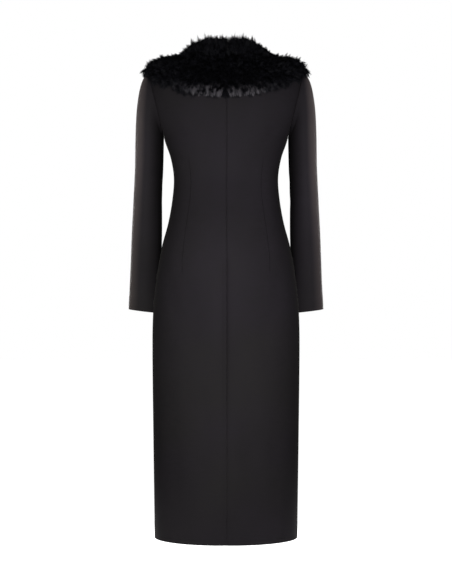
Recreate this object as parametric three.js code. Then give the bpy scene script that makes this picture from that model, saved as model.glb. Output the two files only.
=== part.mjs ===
// A long fitted coat in the shape it has when worn, with a wide fur shawl collar.
// Millimetres. +Z is up, the front faces -Y and the wearer's left is at +X.
// The origin is where the coat hangs from the shoulders, midway between them and at half the
// height of the shoulder seams. Y = 0 is the plane of the side seams.
import * as THREE from "three";

// Cloth and seams
const CLOTH = 2;
const SEAM_GAP = 0.3;
const SEAM_DIP = 0.5;
const SEAM_HALF_WIDTH = 3;
const DART_DIP = 0.8;
const DART_HALF_WIDTH = 2.5;

// Heights of the main levels
const HEM_Z = -1201;
const UNDERARM_Z = -184;
const SHOULDER_POINT_Z = -22;
const NECK_POINT_Z = 22;

// Widths of the upper body, from the middle
const UNDERARM_X = 157.5;
const SHOULDER_POINT_X = 196;
const NECK_POINT_X = 70;
const ARMHOLE_HALF_DEPTH = 56;

// The front closure
const OVERLAP = 22;
const LAP_LIFT = CLOTH + 1;
const BREAK_Z = -285;
const BUTTON_ZS = [-325, -440, -555];
const BUTTON_RADIUS = 13;
const BUTTON_THICK = 4.5;

// Each horizontal section of the body is a superellipse of this power. The side seams are at
// +-side, and the cloth reaches back and front that far behind and before them.
const SECTION_POWER = 2.3;
const BODY = [
  { z: HEM_Z, side: 181.4, back: 128, front: 124 },
  { z: -950, side: 185, back: 127, front: 122 },
  { z: -700, side: 187.4, back: 126, front: 120 },
  { z: -610, side: 184.5, back: 127, front: 119 },
  { z: -530, side: 175.5, back: 128, front: 118 },
  { z: -460, side: 163, back: 122, front: 116 },
  { z: -400, side: 147, back: 108, front: 111 },
  { z: -340, side: 136.6, back: 90, front: 105 },
  { z: BREAK_Z, side: 133, back: 80, front: 104 },
  { z: -235, side: 141, back: 84, front: 118 },
  { z: UNDERARM_Z, side: UNDERARM_X, back: 95, front: 135 },
  { z: -140, side: UNDERARM_X, back: 103, front: 126 },
  { z: -100, side: UNDERARM_X, back: 106, front: 110 },
  { z: -60, side: UNDERARM_X, back: 101, front: 90 },
  { z: SHOULDER_POINT_Z, side: UNDERARM_X, back: 86, front: 66 },
  { z: 0, side: UNDERARM_X, back: 71, front: 50 },
  { z: NECK_POINT_Z, side: UNDERARM_X, back: 56, front: 36 },
];

// The long waist darts, as the distance from the middle at each height
const BACK_DART = [
  { z: -530, x: 109 },
  { z: -500, x: 109.5 },
  { z: -440, x: 103.5 },
  { z: -380, x: 95.5 },
  { z: -310, x: 88.5 },
  { z: -235, x: 94 },
];
const FRONT_DART = [
  { z: -455, x: 96 },
  { z: -400, x: 94 },
  { z: -300, x: 82 },
  { z: -225, x: 86 },
];

// The front edge of each front, under the collar from the break up to the neck point
const FRONT_EDGE = [
  { z: HEM_Z, x: -OVERLAP },
  { z: -400, x: -OVERLAP },
  { z: BREAK_Z, x: -20 },
  { z: -240, x: -4 },
  { z: -190, x: 12 },
  { z: -120, x: 33 },
  { z: -50, x: 50 },
  { z: 0, x: 60 },
  { z: NECK_POINT_Z, x: 64 },
];

// The sleeve's sections, from the armhole over the cap and down to the cuff. Each has its outer
// and inner point, half its depth, where its middle lies and how much it drops towards the back.
const SLEEVE = [
  { ring: 0, outX: 196.3, outZ: -22, inX: 157.9, inZ: -184, deep: 56, mid: 0, drop: 0 },
  { ring: 1, outX: 204, outZ: -24.5, inX: 158, inZ: -185, deep: 57, mid: 0, drop: 0 },
  { ring: 2, outX: 212, outZ: -36, inX: 158.1, inZ: -186, deep: 58.5, mid: 0, drop: 0 },
  { ring: 3, outX: 218.5, outZ: -55, inX: 158.2, inZ: -187, deep: 60, mid: 0, drop: 0 },
  { ring: 4, outX: 223.5, outZ: -80, inX: 158.3, inZ: -188, deep: 61.5, mid: 0, drop: 0 },
  { ring: 5, outX: 227.5, outZ: -112, inX: 158.4, inZ: -189.5, deep: 63, mid: 0, drop: 0 },
  { ring: 6, outX: 229.8, outZ: -150, inX: 158.5, inZ: -192, deep: 64, mid: 0, drop: 0 },
  { ring: 7, outX: 231, outZ: -194, inX: 158.4, inZ: -198, deep: 64, mid: 0, drop: 0 },
  { ring: 9, outX: 232.1, outZ: -262, inX: 159.9, inZ: -264, deep: 61, mid: 1, drop: 0 },
  { ring: 11, outX: 236.1, outZ: -342, inX: 162.6, inZ: -343, deep: 56, mid: -1, drop: 0 },
  { ring: 13, outX: 241.5, outZ: -425, inX: 163.8, inZ: -427, deep: 52, mid: -22, drop: 0.02 },
  { ring: 14.5, outX: 245.1, outZ: -480, inX: 166, inZ: -483, deep: 49.5, mid: -43, drop: 0.03 },
  { ring: 16, outX: 248.5, outZ: -535, inX: 168, inZ: -540, deep: 47, mid: -64, drop: 0.03 },
  { ring: 19, outX: 253.6, outZ: -620.5, inX: 168.6, inZ: -630.5, deep: 43, mid: -93, drop: 0.03 },
];

// The collar's stations, from the middle of the back round the neck to the break. Each runs
// from the neck seam to the outer edge that lies on the coat. roll is how far the fur stands
// above its thickness at the neck, dip how much lower it lies over the shoulder, and upright
// how far it stands up at the neck and not out.
const COLLAR_NECK = [
  { at: 0, x: 0, y: 56, z: 22, fur: 26, roll: 18, dip: 0, upright: 1 },
  { at: 1, x: 36, y: 50, z: 22, fur: 26, roll: 17, dip: 1, upright: 1 },
  { at: 2, x: 59, y: 33, z: 22, fur: 25, roll: 11, dip: 4, upright: 1 },
  { at: 3, x: 69, y: 11, z: 22, fur: 25, roll: 5, dip: 8, upright: 1 },
  { at: 4, x: 68, y: -10, z: 21.5, fur: 25, roll: 4, dip: 7, upright: 0.9 },
  { at: 5, x: 63, y: -36, z: 10, fur: 26, roll: 4, dip: 3, upright: 0.6 },
  { at: 6, x: 55, y: -69, z: -30, fur: 28, roll: 3, dip: 0, upright: 0.2 },
  { at: 7, x: 43, y: -102, z: -82, fur: 28, roll: 1, dip: 0, upright: 0 },
  { at: 8, x: 29, y: -125, z: -135, fur: 27, roll: 0, dip: 0, upright: 0 },
];
const COLLAR_EDGE = [
  { at: 0, x: 0, y: 105, z: -83 },
  { at: 1, x: 62, y: 98, z: -78 },
  { at: 2, x: 128, y: 78, z: -62 },
  { at: 3, x: 177, y: 42, z: -36 },
  { at: 4, x: 185, y: -2, z: -19 },
  { at: 5, x: 182, y: -44, z: -48 },
  { at: 6, x: 168, y: -80, z: -100 },
  { at: 7, x: 146, y: -100, z: -150 },
  { at: 8, x: 117, y: -110, z: -196 },
];
// The right half laps over the left one at the break
const OVER_END = {
  neck: [
    { at: 9, x: 12, y: -135, z: -190, fur: 25, roll: 0, dip: 0, upright: 0 },
    { at: 10, x: -5, y: -117, z: -240, fur: 21, roll: 0, dip: 0, upright: 0 },
    { at: 11, x: -16, y: -104, z: -280, fur: 12, roll: 0, dip: 0, upright: 0 },
  ],
  edge: [
    { at: 9, x: 84, y: -115, z: -234 },
    { at: 10, x: 42, y: -110, z: -268 },
    { at: 11, x: -4, y: -104, z: -290 },
  ],
};
const UNDER_END = {
  neck: [
    { at: 9, x: 22, y: -135, z: -190, fur: 25, roll: 0, dip: 0, upright: 0 },
    { at: 10, x: 35, y: -120, z: -232, fur: 19, roll: 0, dip: 0, upright: 0 },
  ],
  edge: [
    { at: 9, x: 86, y: -115, z: -232 },
    { at: 10, x: 62, y: -110, z: -258 },
  ],
};
const COLLAR_STATIONS = 26;
const COLLAR_CLEAR = 6;
const NECK_SEAM_CLEAR = 3;
const FUR_FEEL = 30;
// The collar's outline across a station: how far along from the neck seam to the outer edge,
// how far inside the neck, and how high as a share of the fur, of the roll and, less, the dip.
const COLLAR_OUTLINE = [
  { along: 1.13, inside: 0, fur: 0.2, roll: 0, dip: 0 },
  { along: 1.09, inside: 0, fur: 0.55, roll: 0, dip: 0 },
  { along: 0.98, inside: 0, fur: 0.86, roll: 0, dip: 0 },
  { along: 0.82, inside: 0, fur: 1, roll: 0, dip: 0.1 },
  { along: 0.62, inside: 0, fur: 0.93, roll: 0.05, dip: 0.5 },
  { along: 0.42, inside: 0, fur: 0.88, roll: 0.25, dip: 1 },
  { along: 0.24, inside: 0, fur: 0.92, roll: 0.6, dip: 0.6 },
  { along: 0.09, inside: 0, fur: 0.98, roll: 0.95, dip: 0.1 },
  { along: 0, inside: 3, fur: 0.97, roll: 1, dip: 0 },
  { along: 0, inside: 10, fur: 0.8, roll: 0.85, dip: 0 },
  { along: 0, inside: 15, fur: 0.5, roll: 0.5, dip: 0 },
  { along: 0, inside: 15, fur: 0.22, roll: 0.1, dip: 0 },
];
const COLLAR_UNDER = [0, 0.1, 0.2, 0.3, 0.4, 0.5, 0.6, 0.7, 0.8, 0.9, 1];
const COLLAR_INNER_BASE = 11;

const COLOURS = { cloth: 0x262425, fur: 0x0b0b0f, button: 0x141415 };

// A smooth curve through one column of a table that is sorted by key
function smooth(table, key, column, at) {
  const last = table.length - 1;
  let i = 0;
  while (i < last - 1 && at > table[i + 1][key]) i++;
  const slope = (a, b) => (table[b][column] - table[a][column]) / (table[b][key] - table[a][key]);
  const span = table[i + 1][key] - table[i][key];
  const before = slope(Math.max(0, i - 1), i + 1) * span;
  const after = slope(i, Math.min(last, i + 2)) * span;
  const t = Math.min(1, Math.max(0, (at - table[i][key]) / span));
  const [t2, t3] = [t * t, t * t * t];
  return (
    (2 * t3 - 3 * t2 + 1) * table[i][column] +
    (t3 - 2 * t2 + t) * before +
    (3 * t2 - 2 * t3) * table[i + 1][column] +
    (t3 - t2) * after
  );
}

function smoothstep(from, to, x) {
  const t = Math.min(1, Math.max(0, (x - from) / (to - from)));
  return t * t * (3 - 2 * t);
}

// How far from the plane of the side seams the armhole lies at a height
function armholeDepth(z) {
  if (z <= UNDERARM_Z || z >= SHOULDER_POINT_Z) return 0;
  const middle = (UNDERARM_Z + SHOULDER_POINT_Z) / 2;
  const share = (z - middle) / (SHOULDER_POINT_Z - middle);
  return ARMHOLE_HALF_DEPTH * Math.sqrt(1 - share * share);
}

// The side of a panel at a height: the side seam, the armhole or the shoulder seam
function panelSideX(z) {
  if (z <= UNDERARM_Z) return smooth(BODY, "z", "side", z);
  const [fromZ, toZ, fromX, toX] =
    z < SHOULDER_POINT_Z
      ? [UNDERARM_Z, SHOULDER_POINT_Z, UNDERARM_X, SHOULDER_POINT_X]
      : [SHOULDER_POINT_Z, NECK_POINT_Z, SHOULDER_POINT_X, NECK_POINT_X];
  return fromX + ((toX - fromX) * (z - fromZ)) / (toZ - fromZ);
}

const depthOf = (z, face) => smooth(BODY, "z", face > 0 ? "back" : "front", z);

// Half the width that the section at a height would have if no armhole cut it
function fullWidth(z, face) {
  const share = armholeDepth(z) / depthOf(z, face);
  return panelSideX(z) / Math.pow(1 - Math.pow(share, SECTION_POWER), 1 / SECTION_POWER);
}

// The angle along a section, from the middle of its face, at which x lies
function angleAt(x, z, face) {
  const share = Math.min(1, Math.abs(x) / fullWidth(z, face));
  return Math.sign(x) * Math.asin(Math.pow(share, SECTION_POWER / 2));
}

// A point on the body's surface. face is 1 behind and -1 before the side seams.
function bodyPoint(angle, z, face) {
  const round = 2 / SECTION_POWER;
  return new THREE.Vector3(
    Math.sign(angle) * fullWidth(z, face) * Math.pow(Math.abs(Math.sin(angle)), round),
    face * depthOf(z, face) * Math.pow(Math.max(0, Math.cos(angle)), round),
    z,
  );
}

// How far a point lies outside the body, as a share of the section's size. Above the neck
// point the body goes on as the neck.
function outsideBody(p) {
  const face = p.y >= 0 ? 1 : -1;
  const z = Math.min(NECK_POINT_Z, p.z);
  const x = Math.abs(p.x) / fullWidth(z, face);
  const y = Math.abs(p.y) / depthOf(z, face);
  return Math.pow(Math.pow(x, SECTION_POWER) + Math.pow(y, SECTION_POWER), 1 / SECTION_POWER) - 1;
}

// The direction in which a point leaves the body fastest, felt over a distance of step
function bodySlope(p, step = 0.5) {
  const along = (axis) => {
    const [low, high] = [p.clone(), p.clone()];
    low[axis] -= step;
    high[axis] += step;
    return (outsideBody(high) - outsideBody(low)) / (2 * step);
  };
  return new THREE.Vector3(along("x"), along("y"), along("z"));
}

// Moves a point straight onto the body's surface
function ontoBody(p) {
  const moved = p.clone();
  for (let i = 0; i < 12; i++) {
    const slope = bodySlope(moved);
    moved.addScaledVector(slope, -outsideBody(moved) / slope.lengthSq());
  }
  return moved;
}

// A closed mesh from triangles that index a list of points, facing out
function closedMesh(name, points, triangles, colour) {
  let volume = 0;
  for (const [a, b, c] of triangles)
    volume += points[a].dot(new THREE.Vector3().crossVectors(points[b], points[c]));
  const facing = volume < 0 ? triangles.map(([a, b, c]) => [a, c, b]) : triangles;
  const geometry = new THREE.BufferGeometry().setFromPoints(points);
  geometry.setIndex(facing.flat());
  geometry.computeVertexNormals();
  const material = new THREE.MeshStandardMaterial({ color: colour, roughness: 0.85, metalness: 0 });
  const mesh = new THREE.Mesh(geometry, material);
  mesh.name = name;
  return mesh;
}

// Two triangles for each cell of a grid of rows, joined round each row if it is a ring
function gridTriangles(rows, columns, start, ring) {
  const made = [];
  for (let r = 0; r < rows - 1; r++)
    for (let c = 0; c < (ring ? columns : columns - 1); c++) {
      const next = (c + 1) % columns;
      const [a, b] = [start + r * columns + c, start + r * columns + next];
      made.push([a, b, a + columns], [b, b + columns, a + columns]);
    }
  return made;
}

// A wall between a grid of outer points and one of inner points. A ring is closed round its rows.
function wall(name, outer, inner, colour, ring = false) {
  const [rows, columns] = [outer.length, outer[0].length];
  const points = [...outer.flat(), ...inner.flat()];
  const behind = rows * columns;
  const triangles = [
    ...gridTriangles(rows, columns, 0, ring),
    ...gridTriangles(rows, columns, behind, ring).map(([a, b, c]) => [a, c, b]),
  ];
  const edge = (a, b) => triangles.push([b, a, a + behind], [b, a + behind, b + behind]);
  const lastRow = (rows - 1) * columns;
  for (let c = 0; c < (ring ? columns : columns - 1); c++) {
    const next = (c + 1) % columns;
    edge(c, next);
    edge(lastRow + next, lastRow + c);
  }
  for (let r = 0; r < rows - 1 && !ring; r++) {
    edge((r + 1) * columns, r * columns);
    edge(r * columns + columns - 1, (r + 1) * columns + columns - 1);
  }
  return closedMesh(name, points, triangles, colour);
}

// Points of a grid moved inwards by the cloth's thickness along the surface's normals
function inwards(grid, ring) {
  const at = (r, c) => {
    const row = grid[Math.min(grid.length - 1, Math.max(0, r))];
    return ring ? row[(c + row.length) % row.length] : row[Math.min(row.length - 1, Math.max(0, c))];
  };
  const normals = grid.map((row, r) =>
    row.map((p, c) => {
      const across = at(r, c + 1).clone().sub(at(r, c - 1));
      const up = at(r + 1, c).clone().sub(at(r - 1, c));
      return across.cross(up).normalize();
    }),
  );
  let outwards = 0;
  grid.forEach((row, r) => {
    const middle = row.reduce((sum, p) => sum.add(p), new THREE.Vector3()).divideScalar(row.length);
    row.forEach((p, c) => (outwards += p.clone().sub(middle).dot(normals[r][c])));
  });
  const step = -Math.sign(outwards) * CLOTH;
  return grid.map((row, r) => row.map((p, c) => p.clone().addScaledVector(normals[r][c], step)));
}

// Heights of a panel's rows: even steps in the skirt and body, steps by angle round the armhole
function rowHeights() {
  const heights = [];
  const even = (from, to, steps) => {
    for (let i = 0; i < steps; i++) heights.push(from + ((to - from) * i) / steps);
  };
  even(HEM_Z, -700, 6);
  even(-700, -460, 7);
  even(-460, UNDERARM_Z, 9);
  const [middle, half] = [(UNDERARM_Z + SHOULDER_POINT_Z) / 2, (SHOULDER_POINT_Z - UNDERARM_Z) / 2];
  const armholeSteps = 9;
  for (let i = 0; i < armholeSteps; i++) heights.push(middle - half * Math.cos((Math.PI * i) / armholeSteps));
  even(SHOULDER_POINT_Z, NECK_POINT_Z, 6);
  return [...heights, NECK_POINT_Z];
}

// One quarter of the body on the wearer's left, as a grid of angles: from the middle of the
// face, or the front edge, to the side. The dart has a column on it and one on each side.
function panelAngles(z, face, dart) {
  const edgeX = (height) => (face > 0 ? 0 : smooth(FRONT_EDGE, "z", "x", height));
  const first = (height) => angleAt(edgeX(height), height, face);
  const last = (height) => {
    const reach = armholeDepth(height) / depthOf(height, face);
    return Math.acos(Math.pow(reach, SECTION_POWER / 2));
  };
  const dartZ = Math.min(dart[dart.length - 1].z, Math.max(dart[0].z, z));
  const dartX = smooth(dart, "z", "x", dartZ);
  const dartShare = (x) => (angleAt(x, dartZ, face) - first(dartZ)) / (last(dartZ) - first(dartZ));
  const [low, high] = [first(z), last(z)];
  const seamShare = (angleAt(edgeX(z) + SEAM_HALF_WIDTH, z, face) - low) / (high - low);
  const knots = [seamShare, ...[-DART_HALF_WIDTH, 0, DART_HALF_WIDTH].map((by) => dartShare(dartX + by)), 1];
  const shares = [0, knots[0]];
  const innerSteps = face > 0 ? 4 : 5;
  for (let i = 1; i <= innerSteps; i++) shares.push(knots[0] + ((knots[1] - knots[0]) * i) / innerSteps);
  shares.push(knots[2], knots[3]);
  const outerSteps = 6;
  for (let i = 1; i <= outerSteps; i++) shares.push(knots[3] + ((knots[4] - knots[3]) * i) / outerSteps);
  return shares.map((share) => low + (high - low) * share);
}

// A body panel. side is 1 for the wearer's left and -1 for the right. The right front is
// lifted where it laps over the left one.
function panel(name, face, side, lapped = false) {
  const dart = face > 0 ? BACK_DART : FRONT_DART;
  const dartColumn = face > 0 ? 6 : 7;
  const outer = rowHeights().map((z) => panelAngles(z, face, dart).map((angle) => bodyPoint(angle, z, face)));
  const inner = inwards(outer, false);
  // At the seams the cloth's edge keeps to the plane between the two panels
  inner.forEach((row, r) => {
    const last = row.length - 1;
    if (face > 0) row[0].x = outer[r][0].x;
    if (Math.abs(outer[r][last].y) < 1e-6) row[last].y = outer[r][last].y;
  });
  const dip = (r, c, depth) => {
    const into = inner[r][c].clone().sub(outer[r][c]).normalize();
    outer[r][c].addScaledVector(into, depth);
  };
  outer.forEach((row, r) => {
    if (face > 0) dip(r, 0, SEAM_DIP);
    const z = row[0].z;
    if (z > dart[0].z && z < dart[dart.length - 1].z) dip(r, dartColumn, DART_DIP);
  });
  const place = (p) => {
    const lift = lapped ? lapLift(p.x) : 0;
    const middleGap = face > 0 ? SEAM_GAP / 2 : 0;
    return new THREE.Vector3(side * (p.x + middleGap), p.y + face * (SEAM_GAP / 2 + lift), p.z);
  };
  return wall(name, outer.map((row) => row.map(place)), inner.map((row) => row.map(place)), COLOURS.cloth);
}

// One ring of a sleeve, from its outer point round by the back
function sleeveRing(ring, segments) {
  const read = (column) => smooth(SLEEVE, "ring", column, ring);
  const middle = new THREE.Vector3((read("outX") + read("inX")) / 2, read("mid"), (read("outZ") + read("inZ")) / 2);
  const half = new THREE.Vector3((read("outX") - read("inX")) / 2, 0, (read("outZ") - read("inZ")) / 2);
  const points = [];
  for (let i = 0; i < segments; i++) {
    const turn = (2 * Math.PI * i) / segments;
    const y = read("deep") * Math.sin(turn);
    const p = middle.clone().addScaledVector(half, Math.cos(turn));
    points.push(p.add(new THREE.Vector3(0, y, -y * read("drop"))));
  }
  return points;
}

function sleeve(name, side) {
  const segments = 22;
  const steps = 20;
  const lastRing = SLEEVE[SLEEVE.length - 1].ring;
  const outer = [];
  for (let i = 0; i <= steps; i++) outer.push(sleeveRing((lastRing * i) / steps, segments));
  const inner = inwards(outer, true);
  const place = (p) => new THREE.Vector3(side * p.x, p.y, p.z);
  return wall(name, outer.map((row) => row.map(place)), inner.map((row) => row.map(place)), COLOURS.cloth, true);
}

// How far a lapped front stands off at a distance from the middle
const lapLift = (x) => LAP_LIFT * (1 - smoothstep(OVERLAP, 3 * OVERLAP, x));

// A point moved onto the body's section at its own height
function ontoSection(p) {
  const scale = 1 / (1 + outsideBody(p));
  return new THREE.Vector3(p.x * scale, p.y * scale, p.z);
}

function smoothPoint(table, at) {
  const read = (column) => smooth(table, "at", column, at);
  return new THREE.Vector3(read("x"), read("y"), read("z"));
}

// The outline of one station of the collar on the wearer's left, as a closed loop
function collarLoop(neckLine, edgeLine, at, lapped) {
  const read = (column) => smooth(neckLine, "at", column, at);
  const up = new THREE.Vector3(0, 0, 1);
  const neck = ontoSection(smoothPoint(neckLine, at));
  const edge = ontoBody(smoothPoint(edgeLine, at));
  const lifted = (along, height, clear) => {
    const base = ontoBody(neck.clone().lerp(edge, along));
    const normal = bodySlope(base).normalize();
    const furWay = bodySlope(base, FUR_FEEL).normalize();
    const upright = read("upright") * (1 - smoothstep(0, 0.6, along));
    const lift = lapped && base.y < 0 ? lapLift(base.x) : 0;
    return base
      .addScaledVector(normal, clear)
      .addScaledVector(furWay.lerp(up, upright).normalize(), height)
      .add(new THREE.Vector3(0, -lift, 0));
  };
  const atNeck = lifted(0, 0, NECK_SEAM_CLEAR).addScaledVector(up, NECK_SEAM_CLEAR);
  const under = COLLAR_UNDER.map((along) => (along === 0 ? atNeck : lifted(along, 0, COLLAR_CLEAR)));
  const middleX = neck.y < 0 ? 30 : 0;
  const towardsNeck = new THREE.Vector3(-Math.max(neck.x, middleX), -Math.max(0, neck.y), 0).normalize();
  const past = lifted(1, 0, 0).sub(lifted(0.86, 0, 0)).normalize();
  const reach = edge.distanceTo(neck);
  const outline = COLLAR_OUTLINE.map(({ along, inside, fur, roll, dip }) =>
    lifted(Math.min(1, along), fur * read("fur") + roll * read("roll") - dip * read("dip"), COLLAR_CLEAR)
      .addScaledVector(past, Math.max(0, along - 1) * reach)
      .addScaledVector(towardsNeck, inside),
  );
  const innerBase = atNeck.clone().addScaledVector(towardsNeck, COLLAR_INNER_BASE);
  return [...under, ...outline, innerBase];
}

// Half of the collar: loops from the middle of the back to the break, closed at both ends
function collar(name, side, ending, lapped = false) {
  const neckLine = [...COLLAR_NECK, ...ending.neck];
  const edgeLine = [...COLLAR_EDGE, ...ending.edge];
  const lastAt = edgeLine[edgeLine.length - 1].at;
  const loops = [];
  for (let i = 0; i <= COLLAR_STATIONS; i++)
    loops.push(collarLoop(neckLine, edgeLine, (lastAt * i) / COLLAR_STATIONS, lapped));
  const size = loops[0].length;
  const points = loops.flat().map((p) => new THREE.Vector3(side * (p.x + SEAM_GAP / 2), p.y, p.z));
  const triangles = gridTriangles(loops.length, size, 0, true);
  for (const start of [0, (loops.length - 1) * size])
    for (const corners of THREE.ShapeUtils.triangulateShape(flatLoop(points.slice(start, start + size)), []))
      triangles.push(corners.map((corner) => start + corner));
  return closedMesh(name, points, orient(triangles), COLOURS.fur);
}

// A loop of points in space, seen along its own normal
function flatLoop(loop) {
  const normal = new THREE.Vector3();
  loop.forEach((p, i) => normal.add(new THREE.Vector3().crossVectors(p, loop[(i + 1) % loop.length])));
  const turn = new THREE.Quaternion().setFromUnitVectors(normal.normalize(), new THREE.Vector3(0, 0, 1));
  return loop.map((p) => {
    const flat = p.clone().applyQuaternion(turn);
    return new THREE.Vector2(flat.x, flat.y);
  });
}

// Turns triangles so that neighbours run the same way along the edge they share
function orient(triangles) {
  const key = (a, b) => a + "_" + b;
  const byEdge = new Map();
  triangles.forEach((t, i) =>
    t.forEach((a, k) => {
      const b = t[(k + 1) % 3];
      const name = a < b ? key(a, b) : key(b, a);
      byEdge.set(name, [...(byEdge.get(name) ?? []), i]);
    }),
  );
  const done = new Set([0]);
  const queue = [0];
  while (queue.length) {
    const t = triangles[queue.pop()];
    t.forEach((a, k) => {
      const b = t[(k + 1) % 3];
      for (const other of byEdge.get(a < b ? key(a, b) : key(b, a))) {
        if (done.has(other)) continue;
        const u = triangles[other];
        const same = u.some((p, m) => p === a && u[(m + 1) % 3] === b);
        if (same) triangles[other] = [u[0], u[2], u[1]];
        done.add(other);
        queue.push(other);
      }
    });
  }
  return triangles;
}

// A sew-through button with a raised rim, lying on the lapped front
function button(name, z) {
  const profile = [
    { radius: BUTTON_RADIUS - 1.5, height: 0 },
    { radius: BUTTON_RADIUS, height: 1.2 },
    { radius: BUTTON_RADIUS, height: BUTTON_THICK - 1.2 },
    { radius: BUTTON_RADIUS - 1.5, height: BUTTON_THICK },
    { radius: BUTTON_RADIUS - 3.5, height: BUTTON_THICK - 0.4 },
    { radius: BUTTON_RADIUS - 5, height: BUTTON_THICK - 1.4 },
  ];
  const segments = 24;
  const frontY = -(depthOf(z, -1) + LAP_LIFT + 1);
  const points = profile.flatMap(({ radius, height }) =>
    Array.from({ length: segments }, (_, i) => {
      const turn = (2 * Math.PI * i) / segments;
      return new THREE.Vector3(radius * Math.cos(turn), frontY - height, z + radius * Math.sin(turn));
    }),
  );
  const triangles = gridTriangles(profile.length, segments, 0, true);
  const lastRow = (profile.length - 1) * segments;
  points.push(new THREE.Vector3(0, frontY, z), new THREE.Vector3(0, frontY - BUTTON_THICK + 1.4, z));
  for (let i = 0; i < segments; i++) {
    const next = (i + 1) % segments;
    triangles.push([next, i, points.length - 2], [lastRow + i, lastRow + next, points.length - 1]);
  }
  return closedMesh(name, points, triangles, COLOURS.button);
}

const coat = new THREE.Group();
coat.add(
  panel("back_left", 1, 1),
  panel("back_right", 1, -1),
  panel("front_left", -1, 1),
  panel("front_right", -1, -1, true),
  sleeve("sleeve_left", 1),
  sleeve("sleeve_right", -1),
  collar("collar_left", 1, UNDER_END),
  collar("collar_right", -1, OVER_END, true),
  ...BUTTON_ZS.map((z, i) => button("button_" + (i + 1), z)),
);

export default coat;
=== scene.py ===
# A long fitted coat in black wool with a wide fur shawl collar, in the shape it has when worn.
# The tables and sizes are in millimetres, in the part's own frame. Meshes are made in metres.
import math

import bmesh
import bpy
import numpy as np
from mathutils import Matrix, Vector


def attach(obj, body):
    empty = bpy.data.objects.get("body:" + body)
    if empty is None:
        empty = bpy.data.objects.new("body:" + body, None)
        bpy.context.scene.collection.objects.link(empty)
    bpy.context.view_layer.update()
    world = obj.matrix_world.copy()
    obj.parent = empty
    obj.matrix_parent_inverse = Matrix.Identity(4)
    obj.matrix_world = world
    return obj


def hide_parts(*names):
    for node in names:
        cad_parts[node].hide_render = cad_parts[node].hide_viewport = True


MM = 0.001
SEED = 7

# Cloth, the gap that its pieces meet at, and the cloth turned up at the hems
CLOTH = 2.0
SEAM_GAP = 0.06
TURNED_HEM = 42
TURNED_RELIEF = 0.35

# Seams are soft grooves. A dart is a narrow step down that comes back up over its reach. It fades
# near its ends.
SIDE_GROOVE = 1.1
ARMHOLE_GROOVE = 0.4
SEAM_WIDTH = 1.9
DART_STEP = 1.6
DART_WIDTH = 1.8
DART_REACH = 16
DART_FADE = {"below": 8, "above": 16, "top": 30}

# The seam down the middle of the back: a groove in its right half, a slight ridge in its left
# one, and a wide valley over the hips and the skirt. All are fainter low on the skirt.
MIDDLE_GROOVE = {"at": 1.1, "depth": 2.6, "width": 1.5}
MIDDLE_RIDGE = {"at": 1.3, "depth": -0.4, "width": 1.3}
MIDDLE_VALLEY = {"depth": 4.8, "width": 9, "least": 0.2}
VALLEY_FROM_Z = (-440, -520)
FAINTER_FROM_Z = (-700, -1000)
FAINTER_BY = 0.55

# Heights of the main levels, and widths of the upper body from the middle
HEM_Z = -1201
UNDERARM_Z = -184
SHOULDER_POINT_Z = -22
NECK_POINT_Z = 22
UNDERARM_X = 157.5
SHOULDER_POINT_X = 196
NECK_POINT_X = 70
ARMHOLE_HALF_DEPTH = 56

# The hem hangs lower by so much at the middle, and level this far from it.
HEM_DROP = 2.6
HEM_LEVEL_X = 150

# The front closure
OVERLAP = 22
LAP_LIFT = CLOTH + 1
BREAK_Z = -285
BUTTON_ZS = [-325, -440, -555]


def columns(names, rows):
    return dict(zip(names.split(), np.array(rows, float).T))


# Each horizontal section of the body is a superellipse of this power. The side seams are at
# +-side, and the cloth reaches back and front that far behind and before them.
SECTION_POWER = 2.3
BODY = columns("z side back front", [
    (HEM_Z, 181.4, 128, 124), (-950, 185, 127, 122), (-700, 187.4, 126, 120),
    (-610, 184.5, 127, 119), (-530, 175.5, 128, 118), (-460, 163, 122, 116),
    (-400, 147, 108, 111), (-340, 136.6, 90, 105), (BREAK_Z, 133, 80, 104),
    (-235, 141, 84, 118), (UNDERARM_Z, UNDERARM_X, 95, 135), (-140, UNDERARM_X, 103, 126),
    (-100, UNDERARM_X, 106, 110), (-60, UNDERARM_X, 101, 90), (SHOULDER_POINT_Z, UNDERARM_X, 86, 66),
    (0, UNDERARM_X, 71, 50), (NECK_POINT_Z, UNDERARM_X, 56, 36),
])
BACK_DART = columns("z x", [
    (-530, 109), (-500, 109.5), (-440, 103.5),
    (-380, 95.5), (-310, 88.5), (-235, 94),
])
FRONT_DART = columns("z x", [(-455, 96), (-400, 94), (-300, 82), (-225, 86)])
FRONT_EDGE = columns("z x", [
    (HEM_Z, -OVERLAP), (-400, -OVERLAP), (BREAK_Z, -20),
    (-240, -4), (-190, 12), (-120, 33),
    (-50, 50), (0, 60), (NECK_POINT_Z, 64),
])

# The sleeve's sections: outer and inner point, half the depth, where the middle lies and how
# much the section drops towards the back
SLEEVE = columns("ring out_x out_z in_x in_z deep mid drop", [
    (0, 196.3, -22, 157.9, -184, 56, 0, 0),
    (1, 204, -24.5, 158, -185, 57, 0, 0),
    (2, 212, -36, 158.1, -186, 58.5, 0, 0),
    (3, 218.5, -55, 158.2, -187, 60, 0, 0),
    (4, 223.5, -80, 158.3, -188, 61.5, 0, 0),
    (5, 227.5, -112, 158.4, -189.5, 63, 0, 0),
    (6, 229.8, -150, 158.5, -192, 64, 0, 0),
    (7, 231, -194, 158.4, -198, 64, 0, 0),
    (9, 232.1, -262, 159.9, -264, 61, 1, 0),
    (11, 236.1, -342, 162.6, -343, 56, -1, 0),
    (13, 241.5, -425, 163.8, -427, 52, -22, 0.02),
    (14.5, 245.1, -480, 166, -483, 49.5, -43, 0.03),
    (16, 248.5, -535, 168, -540, 47, -64, 0.03),
    (19, 253.6, -620.5, 168.6, -630.5, 43, -93, 0.03),
])

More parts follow.
